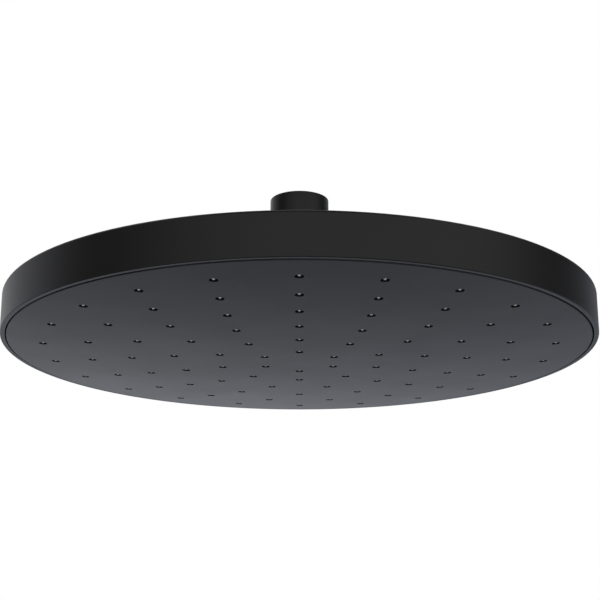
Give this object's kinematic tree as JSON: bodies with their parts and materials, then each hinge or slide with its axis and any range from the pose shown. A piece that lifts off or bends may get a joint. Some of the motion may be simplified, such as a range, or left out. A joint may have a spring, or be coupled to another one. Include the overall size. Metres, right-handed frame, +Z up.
{
  "type": "rain shower head",
  "caption": "Slim round rain shower head with a domed face of silicone nozzles, a crowned back shell and a ball swivel that ends in a threaded inlet.",
  "frame": {"origin": "on the shower axis, where the inlet thread begins below its lead-in chamfer", "axes": "+Z up along the inlet and shower axis, out of the inlet's mouth; -Y towards the nozzle that every ring shares"},
  "size_m": [0.25, 0.25, 0.073],
  "materials": {
    "shell_black": "fine satin black",
    "face_black": "fine satin black",
    "nozzle_silicone": "smooth light grey silicone",
    "chamber_plastic": "plain moulded black",
    "seal_rubber": "plain black rubber",
    "stainless": "plain stainless steel",
    "coated_brass": "brass with a satin black coating",
    "seat_plastic": "plain natural acetal"
  },
  "bodies": {
    "connector": {"inlet_stem": "coated_brass", "regulator_body": "seat_plastic", "regulator_ring": "seal_rubber", "inlet_washer": "seal_rubber", "inlet_screen": "stainless"},
    "swivel_seat": {"ball_seat": "seat_plastic"},
    "head": {"back_shell": "shell_black", "face_plate": "face_black", "nozzle_mat": "nozzle_silicone", "chamber_plate": "chamber_plastic", "chamber_seal": "seal_rubber", "post_seals": "seal_rubber", "chamber_screws": "stainless", "shell_gasket": "seal_rubber", "lock_ring": "chamber_plastic", "union_nut": "coated_brass", "upper_seat": "seat_plastic", "ball_seal": "seal_rubber"}
  },
  "joints": [
    {"name": "spin", "type": "hinge", "parent": "connector", "child": "swivel_seat", "pos_m": [0, 0, -0.03159], "axis": [0, 0, 1], "continuous": true},
    {"name": "tilt", "type": "hinge", "parent": "swivel_seat", "child": "head", "pos_m": [0, 0, -0.03159], "axis": [1, 0, 0], "range_deg": [-15, 15]}
  ]
}
